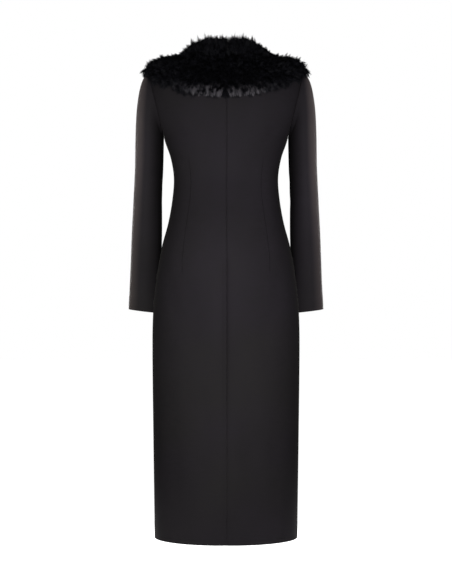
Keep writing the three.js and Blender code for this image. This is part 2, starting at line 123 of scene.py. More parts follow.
# The collar from the middle of the back round the neck to the break. neck is its seam, with
# the fur's thickness, its extra height at the neck, how much lower it lies over the shoulder
# and how upright it stands. edge is its outer edge. The right half laps over the left one.
COLLAR_NECK = [
    (0, 0, 56, 22, 26, 18, 0, 1), (1, 36, 50, 22, 26, 17, 1, 1), (2, 59, 33, 22, 25, 11, 4, 1),
    (3, 69, 11, 22, 25, 5, 8, 1), (4, 68, -10, 21.5, 25, 4, 7, 0.9), (5, 63, -36, 10, 26, 4, 3, 0.6),
    (6, 55, -69, -30, 28, 3, 0, 0.2), (7, 43, -102, -82, 28, 1, 0, 0), (8, 29, -125, -135, 27, 0, 0, 0),
]
COLLAR_EDGE = [
    (0, 0, 105, -83), (1, 62, 98, -78), (2, 128, 78, -62),
    (3, 177, 42, -36), (4, 185, -2, -19), (5, 182, -44, -48),
    (6, 168, -80, -100), (7, 146, -100, -150), (8, 117, -110, -196),
]
COLLAR_ENDS = {
    "right": (
        [
            (9, 12, -135, -190, 25, 0, 0, 0),
            (10, -5, -117, -240, 21, 0, 0, 0),
            (11, -16, -104, -280, 12, 0, 0, 0),
        ],
        [(9, 84, -115, -234), (10, 42, -110, -268), (11, -4, -104, -290)],
    ),
    "left": (
        [(9, 22, -135, -190, 25, 0, 0, 0), (10, 35, -120, -232, 19, 0, 0, 0)],
        [(9, 86, -115, -232), (10, 62, -110, -258)],
    ),
}
# How far the collar clears the cloth, and its neck seam and backing, and the distance over
# which the fur's direction follows the body
COLLAR_CLEAR = 6
SEAM_RISE = 1
BACKING_CLEAR = 5
FUR_FEEL = 30
# The skin under the fur lies at this share of the fur's height.
SKIN = 0.36
# Across the collar, from under its outer edge over the top to the inside of the neck: how far
# along towards the edge, how far inside the neck, and how high as a share of fur, roll and dip
COLLAR_OUTLINE = columns("row along inside fur roll dip", [
    (0, 1.13, 0, 0.2, 0, 0), (1, 1.09, 0, 0.55, 0, 0), (2, 0.98, 0, 0.86, 0, 0),
    (3, 0.82, 0, 1, 0, 0.1), (4, 0.62, 0, 0.93, 0.05, 0.5), (5, 0.42, 0, 0.88, 0.25, 1),
    (6, 0.24, 0, 0.92, 0.6, 0.6), (7, 0.09, 0, 0.98, 0.95, 0.1), (8, 0, 3, 0.97, 1, 0),
    (9, 0, 10, 0.8, 0.85, 0), (10, 0, 15, 0.5, 0.5, 0), (11, 0, 15, 0.22, 0.1, 0),
])


def smooth(table, key, column, at):
    """A smooth curve through one column of a table that is sorted by its key column."""
    xs, ys = table[key], table[column]
    at = np.clip(at, xs[0], xs[-1])
    last = len(xs) - 1
    i = np.clip(np.searchsorted(xs, at) - 1, 0, last - 1)
    span = xs[i + 1] - xs[i]
    low, high = np.maximum(0, i - 1), np.minimum(last, i + 2)
    before = (ys[i + 1] - ys[low]) / (xs[i + 1] - xs[low]) * span
    after = (ys[high] - ys[i]) / (xs[high] - xs[i]) * span
    t = (at - xs[i]) / span
    t2, t3 = t * t, t * t * t
    from_start = (2 * t3 - 3 * t2 + 1) * ys[i] + (t3 - 2 * t2 + t) * before
    return from_start + (3 * t2 - 2 * t3) * ys[i + 1] + (t3 - t2) * after


def read_all(table, key, at):
    """Every other column of a table, read at places along its key column."""
    return {column: smooth(table, key, column, at) for column in table if column != key}


def point_at(line, at):
    """A point on a line of a table with the columns at, x, y and z."""
    return np.stack([smooth(line, "at", axis, at) for axis in "xyz"], -1)


def smoothstep(low, high, x):
    t = np.clip((x - low) / (high - low), 0, 1)
    return t * t * (3 - 2 * t)


def unit(v):
    return v / np.maximum(np.linalg.norm(v, axis=-1, keepdims=True), 1e-9)


def armhole_depth(z):
    """How far from the plane of the side seams the armhole lies at a height."""
    middle = (UNDERARM_Z + SHOULDER_POINT_Z) / 2
    share = np.clip((z - middle) / (SHOULDER_POINT_Z - middle), -1, 1)
    return ARMHOLE_HALF_DEPTH * np.sqrt(1 - share * share)


def panel_side_x(z):
    """The side of a panel at a height: the side seam, the armhole or the shoulder seam."""
    up_armhole = (z - UNDERARM_Z) / (SHOULDER_POINT_Z - UNDERARM_Z)
    up_shoulder = (z - SHOULDER_POINT_Z) / (NECK_POINT_Z - SHOULDER_POINT_Z)
    armhole = UNDERARM_X + (SHOULDER_POINT_X - UNDERARM_X) * up_armhole
    shoulder = SHOULDER_POINT_X + (NECK_POINT_X - SHOULDER_POINT_X) * up_shoulder
    seam = smooth(BODY, "z", "side", z)
    return np.where(z <= UNDERARM_Z, seam, np.where(z < SHOULDER_POINT_Z, armhole, shoulder))


def depth_of(z, face):
    return np.where(np.asarray(face) > 0, smooth(BODY, "z", "back", z), smooth(BODY, "z", "front", z))


def full_width(z, face):
    """Half the width that a section would have with no armhole."""
    share = armhole_depth(z) / depth_of(z, face)
    return panel_side_x(z) / (1 - share**SECTION_POWER) ** (1 / SECTION_POWER)


def angle_at(x, z, face):
    """The angle along a section, from the middle of its face, at which x lies."""
    share = np.minimum(1, np.abs(x) / full_width(z, face))
    return np.sign(x) * np.arcsin(share ** (SECTION_POWER / 2))


def body_point(angle, z, face):
    """A point on the body's surface. face is 1 behind and -1 before the side seams."""
    around = 2 / SECTION_POWER
    x = np.sign(angle) * full_width(z, face) * np.abs(np.sin(angle)) ** around
    y = face * depth_of(z, face) * np.maximum(0, np.cos(angle)) ** around
    return np.stack(np.broadcast_arrays(x, y, z), axis=-1)


def outside_body(p):
    """How far points lie outside the body, as a share of its size there."""
    face = np.where(p[..., 1] >= 0, 1, -1)
    z = np.minimum(NECK_POINT_Z, p[..., 2])
    x = np.abs(p[..., 0]) / full_width(z, face)
    y = np.abs(p[..., 1]) / depth_of(z, face)
    return (x**SECTION_POWER + y**SECTION_POWER) ** (1 / SECTION_POWER) - 1


def body_slope(p, step=0.5):
    """The direction in which points leave the body fastest, felt over a distance of step."""
    along = [outside_body(p + step * axis) - outside_body(p - step * axis) for axis in np.eye(3)]
    return np.stack(along, axis=-1) / (2 * step)


def onto_body(p):
    for _ in range(12):
        slope = body_slope(p)
        p = p - slope * (outside_body(p) / (slope**2).sum(-1))[..., None]
    return p


def lap_lift(x):
    """How far a lapped front stands off at a distance from the middle."""
    return LAP_LIFT * (1 - smoothstep(OVERLAP, 3 * OVERLAP, x))


def in_scene(name, data):
    made = bpy.data.objects.new(name, data)
    bpy.context.scene.collection.objects.link(made)
    return made


def mesh_object(name, points, faces, material):
    """A smooth mesh from points in millimetres and faces that all have as many corners."""
    mesh = bpy.data.meshes.new(name)
    mesh.vertices.add(len(points))
    mesh.vertices.foreach_set("co", (points * MM).astype(np.float32).ravel())
    mesh.loops.add(faces.size)
    mesh.loops.foreach_set("vertex_index", faces.astype(np.int32).ravel())
    mesh.polygons.add(len(faces))
    mesh.polygons.foreach_set("loop_start", np.arange(0, faces.size, faces.shape[1], dtype=np.int32))
    mesh.polygons.foreach_set("use_smooth", np.ones(len(faces), bool))
    mesh.update(calc_edges=True)
    mesh.materials.append(material)
    piece = in_scene(name, mesh)
    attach(piece, "root")
    return piece


def grid_faces(rows, across, ring=False):
    """Faces between the points of a grid, closed round its rows if it is a ring."""
    r, c = np.meshgrid(np.arange(rows - 1), np.arange(across if ring else across - 1), indexing="ij")
    right = (c + 1) % across
    corners = [r * across + c, r * across + right, (r + 1) * across + right, (r + 1) * across + c]
    return np.stack(corners, -1).reshape(-1, 4)


def grid_normals(grid, ring=False):
    """Unit normals of a grid of points, pointing away from the middle of its rows."""
    across = np.roll(grid, -1, axis=1) - np.roll(grid, 1, axis=1) if ring else np.gradient(grid, axis=1)
    normals = unit(np.cross(across, np.gradient(grid, axis=0)))
    outwards = ((grid - grid.mean(axis=1, keepdims=True)) * normals).sum()
    return normals * np.sign(outwards)


def sunken(grid, normals, sunk):
    """The cloth's outer and inner face, sunk by so much below a grid of points."""
    return [grid - normals * (CLOTH * under + sunk[..., None]) for under in (0, 1)]


def wall(name, outer, inner, material, ring=False):
    """A closed wall of cloth between an outer and an inner grid, with softly rounded edges."""
    rows, across = outer.shape[:2]
    behind = rows * across
    away = np.zeros_like(outer)
    away[0] += unit(outer[0] - outer[1])
    away[-1] += unit(outer[-1] - outer[-2])
    index = np.arange(behind).reshape(rows, across)
    if ring:
        borders = [index[0], index[-1][::-1]]
    else:
        away[:, 0] += unit(outer[:, 0] - outer[:, 1])
        away[:, -1] += unit(outer[:, -1] - outer[:, -2])
        borders = [np.concatenate([index[0], index[1:, -1], index[-1, -2::-1], index[-2:0:-1, 0]])]
    middle = ((outer + inner) / 2 + away * CLOTH * 0.3).reshape(-1, 3)
    points = [outer.reshape(-1, 3), inner.reshape(-1, 3)]
    faces = [grid_faces(rows, across, ring), grid_faces(rows, across, ring)[:, ::-1] + behind]
    start = 2 * behind
    for border in borders:
        points.append(middle[border])
        edge = start + np.arange(len(border))
        for near, far in [(border, edge), (edge, border + behind)]:
            faces.append(np.stack([np.roll(near, -1), near, far, np.roll(far, -1)], -1))
        start += len(border)
    return mesh_object(name, np.concatenate(points), np.concatenate(faces), material)


# Soft creases, placed one by one. Each lies at a place on the cloth, runs at a tilt in degrees
# from level, fades over half its length and half its width, and is so deep (a ridge if negative).
BACK_CREASES = columns("x z tilt length width depth", [
    (-112, -268, 14, 26, 7, 0.9), (-109, -297, 4, 30, 8, 1.2), (-113, -326, -12, 26, 8, 0.8),
    (110, -276, -10, 28, 8, 1.1), (113, -309, 3, 26, 7, 0.9), (108, -336, 15, 24, 8, 0.7),
    (-118, -176, -52, 44, 11, 1.3), (121, -170, 55, 40, 12, 1.2), (-44, -296, 3, 28, 9, 0.6),
    (38, -284, -4, 30, 9, 0.5), (-128, -560, -78, 80, 18, 1.4), (134, -590, 80, 90, 17, 1.2),
    (-62, -930, 89, 210, 30, 1.9), (-22, -1010, 91, 150, 20, -1.1), (49, -900, 91, 230, 28, 1.6),
    (92, -1040, 88, 130, 22, -1.2), (-126, -1010, 91, 170, 24, 1.7), (139, -960, 89, 190, 24, 1.8),
    (-96, -720, 86, 110, 26, 0.9), (84, -700, 94, 120, 24, 0.8),
])
FRONT_CREASES = columns("x z tilt length width depth", [
    (-62, -318, 10, 34, 9, 1.1), (58, -322, -9, 34, 9, 1.0), (-104, -296, -6, 28, 8, 1.1),
    (106, -300, 8, 28, 8, 1.2), (-40, -448, 6, 30, 10, 0.8), (44, -446, -7, 32, 10, 0.7),
    (-128, -200, 48, 40, 11, 1.2), (126, -204, -50, 40, 11, 1.3), (-70, -900, 91, 220, 28, 1.8),
    (66, -940, 89, 210, 30, 1.7), (-130, -980, 88, 180, 24, 1.6), (128, -930, 91, 190, 24, 1.5),
    (30, -1040, 90, 130, 20, -1.0),
])
# On a sleeve the place is the turn in degrees from its outer side, towards the back, and the
# distance from the top of the cap.
SLEEVE_CREASES = columns("turn down tilt length width depth", [
    (140, 300, 16, 34, 12, 0.8), (150, 340, -6, 40, 13, 1.0), (132, 386, -18, 34, 13, 0.7),
    (214, 316, -14, 34, 12, 0.9), (222, 362, 10, 40, 12, 1.1), (60, 372, -8, 40, 16, 0.5),
    (300, 350, 12, 40, 14, 0.7), (140, 96, 66, 40, 12, 0.8), (226, 100, -64, 40, 12, 0.9),
    (20, 520, 84, 80, 16, 0.6), (118, 540, 92, 70, 15, 0.6), (250, 500, 86, 80, 15, 0.7),
])

# Columns of points at these distances from a panel's middle edge and its dart, and at these
# shares of the last step before its side
NEAR_EDGE = np.array([0, 0.7, 1.5, 2.5, 4, 7, 12])
NEAR_DART = np.array([-12, -7, -4, -2.4, -1.2, -0.5, 0, 0.5, 1.2, 2.4, 4, 7, 12])
NEAR_SIDE = np.array([[0.6, 0.3, 0.12, 0.05, 0]])
ABOVE_HEM = np.array([0, 0.8, 2, 4, 8])
COLUMNS_KEPT_FROM_Z = -120

# A sleeve's length along the cloth, its rings, and the cloth to a degree of turn round it
SLEEVE_LENGTH = 620
LAST_RING = 19
SLEEVE_RINGS = [np.linspace(0, 7, 30)[:-1], np.linspace(7, 18.7, 72), [18.85, 18.93, 18.98, LAST_RING]]
CLOTH_A_DEGREE = 0.8
RIGHT_SLEEVE_TURN = 17
INNER_SEAM_TURN = 180


def crease_depth(creases, across, up):
    """How far the creases sink points that lie at across and up on the cloth."""
    sunk = np.zeros(np.broadcast(across, up).shape)
    for x, z, tilt, length, width, depth in zip(*creases.values()):
        turn = math.radians(tilt)
        along = (across - x) * math.cos(turn) + (up - z) * math.sin(turn)
        off = (up - z) * math.cos(turn) - (across - x) * math.sin(turn)
        bend = off + 0.12 * width * np.sin(along / length * 2.6)
        sunk += depth * np.exp(-((along / length) ** 2) * 1.4) * np.exp(-((bend / width) ** 2))
    return sunk


def groove(distance, depth, width):
    return depth * np.exp(-((distance / width) ** 2))


def dart_fold(distance):
    """A dart: a narrow step down going outwards, which comes back up gently."""
    step = smoothstep(-DART_WIDTH / 2, DART_WIDTH / 2, distance)
    return DART_STEP * step * np.exp(-((distance / DART_REACH) ** 2))


def middle_seam(from_edge, z, side):
    """How far a half of the back sinks near the seam down its middle."""
    faint = 1 - FAINTER_BY * smoothstep(*FAINTER_FROM_Z, z)
    near = MIDDLE_GROOVE if side < 0 else MIDDLE_RIDGE
    seam = groove(from_edge - near["at"], near["depth"], near["width"]) * faint
    least = MIDDLE_VALLEY["least"]
    shown = smoothstep(*VALLEY_FROM_Z, z) * (least + (1 - least) * faint)
    return seam + groove(from_edge, MIDDLE_VALLEY["depth"], MIDDLE_VALLEY["width"]) * shown


def turned_relief(from_hem):
    """How far the cloth stands out where it is turned up inside."""
    return TURNED_RELIEF * (1 - smoothstep(TURNED_HEM - 5, TURNED_HEM + 2, from_hem))


def panel_heights():
    """The heights of a panel's rows, closer at the hem and at the armhole's ends."""
    middle = (UNDERARM_Z + SHOULDER_POINT_Z) / 2
    half = (SHOULDER_POINT_Z - UNDERARM_Z) / 2
    skirt = np.linspace(HEM_Z + 14, UNDERARM_Z, 142)[:-1]
    armhole = middle - half * np.cos(np.linspace(0, np.pi, 28))[:-1]
    shoulder = np.linspace(SHOULDER_POINT_Z, NECK_POINT_Z, 12)
    return np.concatenate([HEM_Z + ABOVE_HEM, skirt, armhole, shoulder])


def edge_x(z, face):
    """A panel's middle edge: the middle of the back, or the front's edge."""
    return np.zeros_like(z) if face > 0 else smooth(FRONT_EDGE, "z", "x", z)


def end_angles(z, face):
    """The angles along a section at a panel's middle edge and at its side."""
    last = np.arccos((armhole_depth(z) / depth_of(z, face)) ** (SECTION_POWER / 2))
    return angle_at(edge_x(z, face), z, face), last


def share_across(x, z, face):
    """How far across a panel x lies, as a share of its angle."""
    first, last = end_angles(z, face)
    return (angle_at(x, z, face) - first) / (last - first)


def steps_between(low, high, steps):
    """The places between two ends, in equal steps."""
    return low + (high - low) * np.arange(1, steps) / steps


def panel_grid(face):
    """Points of one quarter of the body on the wearer's left, with closer columns at its seams
    and dart, and the column that lies on the dart."""
    z = panel_heights()[:, None]
    dart = BACK_DART if face > 0 else FRONT_DART
    edge_z = np.minimum(z, COLUMNS_KEPT_FROM_Z)
    dart_z = np.clip(z, dart["z"][0], dart["z"][-1])
    edge_part = share_across(edge_x(edge_z, face) + NEAR_EDGE, edge_z, face)
    dart_part = share_across(smooth(dart, "z", "x", dart_z) + NEAR_DART, dart_z, face)
    first_gap = steps_between(edge_part[:, -1:], dart_part[:, :1], 8)
    second_gap = steps_between(dart_part[:, -1:], np.ones_like(z), 12)
    side_part = 1 - (1 - second_gap[:, -1:]) * NEAR_SIDE
    shares = np.concatenate([edge_part, first_gap, dart_part, second_gap, side_part], axis=1)
    first, last = end_angles(z, face)
    dart_column = edge_part.shape[1] + first_gap.shape[1] + list(NEAR_DART).index(0)
    return body_point(first + (last - first) * shares, z, face), dart_column


def body_panel(name, face, side, material, lapped=False):
    """A back or front. side is 1 for the wearer's left and -1 for the right."""
    outer, dart_column = panel_grid(face)
    normals = grid_normals(outer)
    normals[:, -1, 1] *= (np.abs(outer[:, -1, 1]) > 1e-6)
    if face > 0:
        normals[:, 0, 0] = 0
    normals = unit(normals)
    steps = np.linalg.norm(np.diff(outer, axis=1), axis=-1)
    from_edge = np.concatenate([np.zeros((len(outer), 1)), np.cumsum(steps, axis=1)], axis=1)
    from_side = from_edge[:, -1:] - from_edge
    from_dart = from_edge - from_edge[:, dart_column][:, None]
    x, z = outer[..., 0], outer[..., 2]
    from_hem = z - HEM_Z
    dart = BACK_DART if face > 0 else FRONT_DART
    low, high = dart["z"][0], dart["z"][-1]
    fades = smoothstep(low - DART_FADE["below"], low + DART_FADE["above"], z)
    fades *= 1 - smoothstep(high - DART_FADE["top"], high, z)
    creases = BACK_CREASES if face > 0 else FRONT_CREASES
    sunk = crease_depth(creases, side * x, z) * smoothstep(0, 40, from_side) * smoothstep(0, 10, from_hem)
    side_groove = np.where(z > UNDERARM_Z - 6, ARMHOLE_GROOVE, SIDE_GROOVE)
    sunk += groove(from_side, side_groove, SEAM_WIDTH) + dart_fold(from_dart) * fades
    if face > 0:
        sunk += middle_seam(from_edge, z, side)
    sunk -= turned_relief(from_hem)
    drop = HEM_DROP * (1 - (x / HEM_LEVEL_X) ** 2) * (1 - smoothstep(0, 2 * TURNED_HEM, from_hem))
    middle_gap = SEAM_GAP / 2 if face > 0 else 0
    placed = []
    for grid in sunken(outer, normals, sunk):
        lift = lap_lift(grid[..., 0]) if lapped else 0
        apart = face * (SEAM_GAP / 2 + lift)
        grid = np.stack([grid[..., 0] + middle_gap, grid[..., 1] + apart, grid[..., 2] - drop], -1)
        placed.append(grid * [side, 1, 1])
    return wall(name, *placed, material)


def sleeve_piece(name, side, material):
    """A sleeve from its cap to its cuff, with one faint seam along its inner side."""
    ring = np.concatenate(SLEEVE_RINGS)[:, None]
    turn = np.linspace(0, 2 * np.pi, 64, endpoint=False)[None, :]
    read = read_all(SLEEVE, "ring", ring)
    outwards = np.cos(turn)
    rise = read["deep"] * np.sin(turn)
    x = (read["out_x"] + read["in_x"]) / 2 + (read["out_x"] - read["in_x"]) / 2 * outwards
    z = (read["out_z"] + read["in_z"]) / 2 + (read["out_z"] - read["in_z"]) / 2 * outwards
    outer = np.stack([x, read["mid"] + rise, z - rise * read["drop"]], -1)
    normals = grid_normals(outer, ring=True)
    down = ring / LAST_RING * SLEEVE_LENGTH
    from_cuff = SLEEVE_LENGTH - down
    around = np.degrees(turn) + np.zeros_like(down)
    shifted = around if side > 0 else (around + RIGHT_SLEEVE_TURN) % 360
    creases = {**SLEEVE_CREASES, "turn": SLEEVE_CREASES["turn"] * CLOTH_A_DEGREE}
    sunk = crease_depth(creases, shifted * CLOTH_A_DEGREE, down)
    sunk *= smoothstep(20, 80, down) * smoothstep(0, 30, from_cuff)
    sunk += groove((around - INNER_SEAM_TURN) * CLOTH_A_DEGREE, 0.8, 1.2) * smoothstep(0, 12, down)
    sunk -= turned_relief(from_cuff)
    placed = [grid * [side, 1, 1] for grid in sunken(outer, normals, sunk)]
    return wall(name, *placed, material, ring=True)


def onto_section(p):
    """Points moved level onto the body's section at their height."""
    scale = 1 / (1 + outside_body(p))
    return p * np.stack([scale, scale, np.ones_like(scale)], -1)


class CollarHalf:
    """The form of half the collar, on the wearer's left before the right one is mirrored. at runs
    from the middle of the back to the break, row from under the outer edge to inside the neck."""

    def __init__(self, side_name):
        neck_end, edge_end = COLLAR_ENDS[side_name]
        self.neck = columns("at x y z fur roll dip upright", COLLAR_NECK + neck_end)
        self.edge = columns("at x y z", COLLAR_EDGE + edge_end)
        self.last = self.edge["at"][-1]
        self.side = 1 if side_name == "left" else -1
        self.lapped = side_name == "right"

    def lifted(self, at, along, height, clear):
        """Points between neck and edge, clear of the cloth and raised the fur's way, and the
        neck's and the edge's own points."""
        neck = onto_section(point_at(self.neck, at))
        edge = onto_body(point_at(self.edge, at))
        base = onto_body(neck + (edge - neck) * along[..., None])
        normal, fur_way = unit(body_slope(base)), unit(body_slope(base, FUR_FEEL))
        upright = (smooth(self.neck, "at", "upright", at) * (1 - smoothstep(0, 0.6, along)))[..., None]
        way = unit(fur_way * (1 - upright) + np.array([0, 0, 1]) * upright)
        lift = lap_lift(base[..., 0]) * (base[..., 1] < 0) * self.lapped
        lifted = base + normal * np.asarray(clear)[..., None] + way * np.asarray(height)[..., None]
        lifted[..., 1] -= lift
        return lifted, neck, edge

    def surface(self, at, row, height):
        """Points at a share of the fur's height: 0 on the cloth's side, 1 at the tips."""
        at, row, height = np.broadcast_arrays(at, row, height)
        read = read_all(COLLAR_OUTLINE, "row", row)
        along = read["along"]
        fur, roll, dip = (read[name] * smooth(self.neck, "at", name, at) for name in ("fur", "roll", "dip"))
        clear = np.full(at.shape, COLLAR_CLEAR)
        points, neck, edge = self.lifted(at, np.minimum(1, along), (fur + roll - dip) * height, clear)
        one, nothing = np.ones(at.shape), np.zeros(at.shape)
        before_edge = self.lifted(at, 0.86 * one, nothing, nothing)[0]
        past = unit(self.lifted(at, one, nothing, nothing)[0] - before_edge)
        reach = np.linalg.norm(edge - neck, axis=-1)
        least = np.where(neck[..., 1] < 0, 30, 0)
        inward = np.stack([-np.maximum(neck[..., 0], least), -np.maximum(0, neck[..., 1]), nothing], -1)
        points += past * (np.maximum(0, along - 1) * reach * height)[..., None]
        return points + unit(inward) * (read["inside"] * (0.35 + 0.65 * height))[..., None]

    def placed(self, points):
        return (points + [SEAM_GAP / 2, 0, 0]) * [self.side, 1, 1]


def collar_skin(name, collar, material):
    """The collar under its fur: a closed loop at each station, with both ends shut."""
    at = np.linspace(0, collar.last, 90)[:, None]
    over = collar.surface(at, np.linspace(0, COLLAR_OUTLINE["row"][-1], 45)[None, :], SKIN)
    stations, along = np.broadcast_arrays(at, np.linspace(0, 1, 16)[None, :])
    under = collar.lifted(stations, along, 0 * along, np.full(along.shape, BACKING_CLEAR))[0]
    under[:, 0, 2] += SEAM_RISE
    loops = np.concatenate([under, over], axis=1)
    rows, across = loops.shape[:2]
    faces = grid_faces(rows, across, ring=True)
    ends = [loops[0].mean(axis=0), loops[-1].mean(axis=0)]
    points = collar.placed(np.concatenate([loops.reshape(-1, 3), ends]))
    piece = mesh_object(name, points, faces, material)
    bm = bmesh.new()
    bm.from_mesh(piece.data)
    bm.verts.ensure_lookup_table()
    for start, tip in ((0, rows * across), ((rows - 1) * across, rows * across + 1)):
        for i in range(across):
            bm.faces.new([bm.verts[start + i], bm.verts[start + (i + 1) % across], bm.verts[tip]])
    bmesh.ops.recalc_face_normals(bm, faces=bm.faces)
    for face in bm.faces:
        face.smooth = True
    bm.to_mesh(piece.data)
    bm.free()
    return piece


# Fur, in pointed tufts. A kind of tuft has so many strands, gathered from a radius at the root to
# a share of it at the tip, the least length of its strands, and how late they turn paler: to the tip
# colour, and on the fringe to its painted highlight.
TUFT_SPACING = 6.8
BODY_TUFT = {"strands": 54, "radius": 4.2, "gathered": 0.1, "least": 0.4, "paling": 1.3}
CREST_TUFT = {"strands": 42, "radius": 3.2, "gathered": 0.12, "least": 0.5, "paling": 1.3}
FRINGE_TUFT = {"strands": 120, "radius": 3.3, "gathered": 0.06, "least": 0.7, "paling": 0.8}
STRAND_WIDTH = 0.55
# How far tips lie towards the edge, and the share of tufts that stray, up to so much taller
FLOW = 13
STRAY = {"share": 0.34, "taller": 0.46}
# The fringe tufts at the back, paler at their tips by a painted highlight of the light from above:
# from where to where, how far apart, the collar's row that they grow from, their reach past the edge,
# the width of a bunch, and where the painted highlight fades out
FRINGE = {"from_x": 9.5, "to_x": 136, "spacing": 4.5, "row": 2.45, "reach": 13, "bunch": 16}
FRINGE_HIGHLIGHT_FADES_X = (66, 116)
CREST = {"from_row": 5.6, "to_row": 9.6, "spacing": 0.011}
FUR_DARK = np.array([0.0042, 0.0042, 0.0055])
FUR_TIP = np.array([0.0056, 0.0056, 0.0078])
# The painted highlight added to the fringe's tips, where light from above catches them
FUR_PAINTED_HIGHLIGHT = np.array([0.134, 0.125, 0.137])


def tuft_places(collar, rng, at_range):
    """Places for tufts, evenly over the skin's area between two stations."""
    at = np.linspace(*at_range, 100)
    row = np.linspace(0.1, COLLAR_OUTLINE["row"][-1], 60)
    grid = collar.surface(at[:, None], row[None, :], SKIN)
    cell = np.linalg.norm(np.cross(np.diff(grid, axis=0)[:, :-1], np.diff(grid, axis=1)[:-1]), axis=-1)
    count = int(cell.sum() / TUFT_SPACING**2)
    wanted = (np.arange(count) + rng.random(count)) / count
    picked = np.searchsorted(np.cumsum(cell.ravel()) / cell.sum(), wanted)
    i, j = np.unravel_index(np.minimum(picked, cell.size - 1), cell.shape)
    picked_at = at[i] + rng.random(count) * (at[1] - at[0])
    return picked_at, row[j] + rng.random(count) * (row[1] - row[0])


def directions(collar, at, row):
    """At places on the skin: the point, away from the skin, along the collar and to its edge."""
    step = 0.05
    root = collar.surface(at, row, SKIN)
    down = (collar.surface(at, np.maximum(row - step, 0), SKIN) - root) / step
    along = (collar.surface(np.minimum(at + step, collar.last), row, SKIN) - root) / step
    return root, unit(collar.surface(at, row, 1.0) - root), unit(along), down


def body_tufts(collar, rng, at_range):
    """Roots and tips of tufts all over the collar, leaning towards its outer edge."""
    at, row = tuft_places(collar, rng, at_range)
    count = len(at)
    root, normal, tangent, down = directions(collar, at, row)
    stray = (rng.random(count) < STRAY["share"]) * rng.random(count)
    lean = FLOW * rng.uniform(0.4, 1.6, count) * (1 - 0.7 * stray)
    lean /= np.maximum(np.linalg.norm(down, axis=-1), 6)
    tip_at = np.clip(at + rng.normal(0, 0.06, count) + 0.10 * smoothstep(4, 6, at), 0, collar.last)
    over_shoulder = 0.35 + 0.65 * smoothstep(1.0, 2.2, at)
    height = 1.0 + rng.normal(0.03, 0.08, count) + STRAY["taller"] * stray * over_shoulder
    tip = collar.surface(tip_at, np.maximum(row - lean, 0), height)
    past_edge = np.clip((lean - row) / np.maximum(lean, 1e-6), 0, 1)
    tip += unit(down) * (past_edge * 6 * rng.random(count))[:, None]
    tip += rng.normal(0, 2.8, (count, 3))
    return root, tip, normal, tangent, np.zeros(count)


def crest_tufts(collar, rng, at_range):
    """Short upright tufts that fill the collar's crest round the neck."""
    at = np.arange(at_range[0], at_range[1], CREST["spacing"])
    count = len(at)
    at = at + rng.uniform(0, CREST["spacing"], count)
    row = rng.uniform(CREST["from_row"], CREST["to_row"], count)
    root, normal, tangent, _ = directions(collar, at, row)
    tip = collar.surface(at, row, 1.0 + rng.normal(0.02, 0.08, count))
    tip += rng.normal(0, 2.2, (count, 3))
    return root, tip, normal, tangent, np.zeros(count)


def fringe_tufts(collar, rng):
    """Tufts that hang from the collar's edge at the back, with a painted highlight on their tips, weaker on
    the tufts between them.
    """
    x = np.arange(FRINGE["from_x"], FRINGE["to_x"], FRINGE["spacing"])
    count = len(x)
    x = x + rng.normal(0, 0.9, count)
    stations = np.linspace(0, 3, 200)
    rim_x = collar.surface(stations, 1.2, 1.0)[:, 0]
    at = np.interp(x, rim_x, stations)
    between = np.arange(count) % 2
    row = FRINGE["row"] + 0.35 * (1 - between) + rng.normal(0, 0.12, count)
    root, normal, tangent, down = directions(collar, at, row)
    bunch = (x - FRINGE["from_x"]) / FRINGE["bunch"]
    from_bunch = bunch - np.floor(bunch) - 0.5
    in_bunch = np.cos(from_bunch * np.pi)
    reach = FRINGE["reach"] * rng.uniform(0.6, 1.0, count) * (1 - 0.3 * smoothstep(60, 125, x))
    tip = collar.surface(at, 0.9, 0.8) + unit(down) * (reach * (0.4 + 0.35 * in_bunch))[:, None]
    tip += rng.normal(0, 0.6, (count, 3)) - tangent * (from_bunch * FRINGE["bunch"] * 0.15)[:, None]
    # Painted highlight: how much light from above is painted on each tuft's tips, most at a bunch's middle
    painted_highlight = rng.uniform(0.75, 1.0, count) * (0.65 + 0.35 * in_bunch) * (1 - 0.3 * between)
    painted_highlight *= 1 - 0.85 * smoothstep(*FRINGE_HIGHLIGHT_FADES_X, x)
    return root, tip, normal, tangent, painted_highlight


def strands_of(tufts, kind, rng):
    """Curved strands from the tufts' roots, gathered towards their tips."""
    root, tip, normal, tangent, painted_highlight = tufts
    shape = (len(root), kind["strands"])
    across = unit(np.cross(normal, tangent))
    spread = rng.normal(0, kind["radius"], shape + (2,)) * rng.uniform(0.7, 1.35, (len(root), 1, 1))
    offset = spread[..., :1] * tangent[:, None] + spread[..., 1:] * across[:, None]
    start = root[:, None] + offset
    reach = rng.uniform(kind["least"], 1.0, shape + (1,)) ** 0.6
    aim = tip[:, None] + kind["gathered"] * offset + rng.normal(0, 0.5, shape + (3,))
    end = start + (aim - start) * reach
    length = np.linalg.norm(end - start, axis=-1, keepdims=True)
    middle = (start + end) / 2 + normal[:, None] * length * 0.17 + rng.normal(0, 0.5, shape + (3,))
    side = unit(np.cross(end - start, rng.normal(0, 1, shape + (3,)))) * STRAND_WIDTH / 2
    points = np.stack([start - side, start + side, middle + 0.9 * side, middle - 0.9 * side, end], axis=2)
    paler = np.array([0, 0, 0.55, 0.55, 1.0])[:, None] ** kind["paling"]
    dark = FUR_DARK * rng.uniform(0.8, 1.2, (len(root), 1))
    # Tip colour, plus the painted highlight on the fringe's tips
    light = FUR_TIP * rng.uniform(0.75, 1.25, (len(root), 1)) + painted_highlight[:, None] * FUR_PAINTED_HIGHLIGHT
    vary = rng.uniform(0.7, 1.3, shape + (1, 1))
    colour = (dark[:, None, None] + (light - dark)[:, None, None] * paler) * vary
    return points.reshape(-1, 3), colour.reshape(-1, 3)


